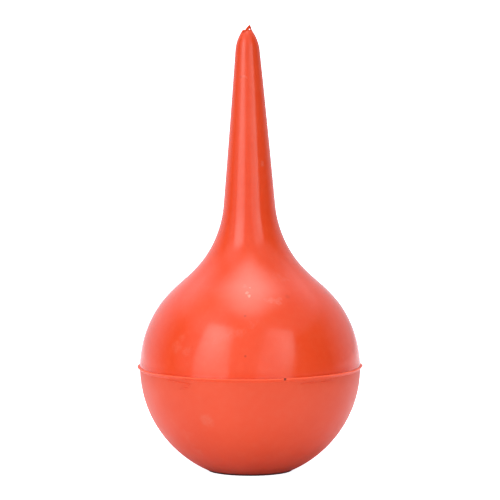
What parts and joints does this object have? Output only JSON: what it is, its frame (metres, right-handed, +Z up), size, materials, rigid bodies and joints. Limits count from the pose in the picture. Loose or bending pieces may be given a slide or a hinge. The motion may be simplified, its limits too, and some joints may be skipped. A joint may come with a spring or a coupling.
{
  "type": "dust blower bulb",
  "caption": "Hollow rubber squeeze bulb with a small flat base, a seam round its equator and a long tapered nozzle that blows dust off small work.",
  "frame": {"origin": "centre of the flat base, which the bulb stands on", "axes": "+Z up the shared axis of ball, neck and bore, out of the nozzle's mouth; the nozzle bends in the XZ plane"},
  "size_m": [0.0562, 0.0562, 0.1112],
  "materials": {
    "lower_rubber": "moulded orange-red rubber, dull silk",
    "upper_rubber": "moulded orange-red rubber, satin",
    "flash_rubber": "thin torn flash of the same rubber, matt edges"
  },
  "bodies": {
    "base": {"lower_shell": "lower_rubber"},
    "seam": {"seam_bond": "flash_rubber", "upper_shell": "upper_rubber"},
    "neck": {"neck": "upper_rubber"},
    "nozzle": {"nozzle": "upper_rubber", "tip_flash": "flash_rubber"}
  },
  "joints": [
    {"name": "seam_drop", "type": "slide", "parent": "base", "child": "seam", "axis": [0, 0, -1], "range_m": [0, 0.01], "stiffness_N_per_m": 2500, "deforming": ["lower_shell"]},
    {"name": "neck_drop", "type": "slide", "parent": "seam", "child": "neck", "axis": [0, 0, -1], "range_m": [0, 0.01], "stiffness_N_per_m": 2500, "deforming": ["upper_shell"]},
    {"name": "nozzle_bend", "type": "hinge", "parent": "neck", "child": "nozzle", "pos_m": [0, 0, 0.07], "axis": [0, 1, 0], "range_deg": [-35, 35], "stiffness_Nm_per_rad": 0.12}
  ],
  "couplings": [
    {"joint": "neck_drop", "follows": "seam_drop", "ratio": 1}
  ]
}
